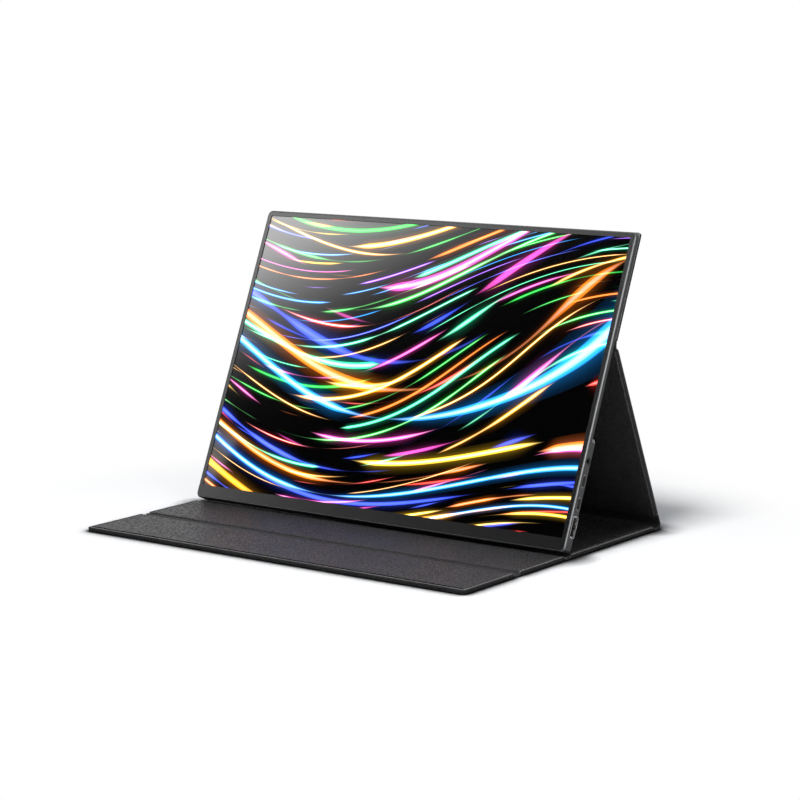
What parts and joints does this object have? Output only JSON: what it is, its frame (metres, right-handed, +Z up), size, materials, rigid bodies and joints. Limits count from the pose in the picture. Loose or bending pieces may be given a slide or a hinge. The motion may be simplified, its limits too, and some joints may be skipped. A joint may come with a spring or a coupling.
{
  "type": "portable monitor with cover",
  "caption": "Thin portable monitor standing in a folding leather-look cover, with side sockets, a folding rear leg, a magnetic back plate and folding front strips.",
  "frame": {"origin": "on the table, in the middle of the footprint", "axes": "+X along the width to the viewer's right, +Y to the back, +Z up"},
  "size_m": [0.348, 0.257, 0.2266],
  "materials": {
    "lining": "fine charcoal weave, pressed flat",
    "stiffener": "fibre board",
    "outer_skin": "fine-grained leather-look skin",
    "crease": "pressed leather-look fold",
    "magnet": "plated magnet",
    "shell": "dark grey anodised, fine blast",
    "bezel": "satin dark grey",
    "screen": "low-gloss display surface, lit",
    "white_film": "white film",
    "light_guide": "clear acrylic",
    "led_strip": "strip with small lamps",
    "sheet_steel": "thin steel sheet",
    "socket_metal": "plated sheet metal",
    "socket_plastic": "black moulded plastic",
    "circuit_board": "solder mask",
    "chip": "moulded package",
    "spreader": "bare sheet",
    "flat_cable": "flat flexible lead",
    "speaker": "moulded speaker case",
    "control": "dark grey anodised"
  },
  "bodies": {
    "flap_tip": {"flap_tip_lining": "lining", "flap_tip_board": "stiffener", "flap_tip_outer_skin": "outer_skin"},
    "flap": {"flap_lining": "lining", "flap_board": "stiffener", "flap_outer_skin": "outer_skin", "flap_tip_crease": "crease"},
    "base": {"base_lining": "lining", "base_board": "stiffener", "base_outer_skin": "outer_skin", "flap_crease": "crease", "spine_crease": "crease"},
    "leg": {"leg_lining": "lining", "leg_board": "stiffener", "leg_outer_skin": "outer_skin", "plate_crease": "crease"},
    "plate": {"plate_lining": "lining", "plate_board": "stiffener", "plate_outer_skin": "outer_skin", "plate_magnets": "magnet"},
    "monitor": {"rear_shell": "shell", "bezel_frame": "bezel", "display_glass": "screen", "diffuser_films": "white_film", "light_guide": "light_guide", "reflector_sheet": "white_film", "led_bar": "led_strip", "panel_tray": "sheet_steel", "magnet_keeper": "sheet_steel", "usb_c_socket_upper": "socket_metal", "usb_c_tongue_upper": "socket_plastic", "usb_c_socket_lower": "socket_metal", "usb_c_tongue_lower": "socket_plastic", "hdmi_socket": "socket_metal", "hdmi_tongue": "socket_plastic", "audio_jack": "socket_plastic", "main_board": "circuit_board", "board_screws": "socket_metal", "main_chip": "chip", "heat_spreader": "spreader", "driver_board": "circuit_board", "panel_cable": "flat_cable", "key_cable": "flat_cable", "speaker_left": "speaker", "speaker_right": "speaker", "power_switch": "chip", "rocker_pin": "socket_metal", "rocker_switches": "chip", "key_board": "circuit_board"},
    "power_button": {"power_button": "control"},
    "menu_rocker": {"menu_rocker": "control"}
  },
  "joints": [
    {"name": "leg_fold", "type": "hinge", "parent": "base", "child": "leg", "pos_m": [0, 0.12515, 0.0034], "axis": [-1, 0, 0], "range_deg": [0, 111], "deforming": ["spine_crease"]},
    {"name": "plate_fold", "type": "hinge", "parent": "leg", "child": "plate", "pos_m": [0, 0.06146, 0.14657], "axis": [1, 0, 0], "range_deg": [0, 41.7], "deforming": ["plate_crease"]},
    {"name": "monitor_lift", "type": "slide", "parent": "plate", "child": "monitor", "axis": [0, -0.9179, 0.3968], "range_m": [0, 0.025]},
    {"name": "flap_fold", "type": "hinge", "parent": "base", "child": "flap", "pos_m": [0, 0.0001, 0.0022], "axis": [-1, 0, 0], "range_deg": [0, 20], "deforming": ["flap_crease"]},
    {"name": "flap_tip_fold", "type": "hinge", "parent": "flap", "child": "flap_tip", "pos_m": [0, -0.06495, 0.0022], "axis": [-1, 0, 0], "range_deg": [0, 110], "deforming": ["flap_tip_crease"]},
    {"name": "power_press", "type": "slide", "parent": "monitor", "child": "power_button", "axis": [1, 0, 0], "range_m": [0, 0.0005], "stiffness_N_per_m": 1200},
    {"name": "rocker_tilt", "type": "hinge", "parent": "monitor", "child": "menu_rocker", "pos_m": [-0.1706, 0.01283, 0.03533], "axis": [0, 0.9179, -0.3968], "range_deg": [-4, 4], "stiffness_Nm_per_rad": 0.05}
  ],
  "couplings": [
    {"joint": "plate_fold", "follows": "leg_fold", "ratio": 0.375}
  ]
}
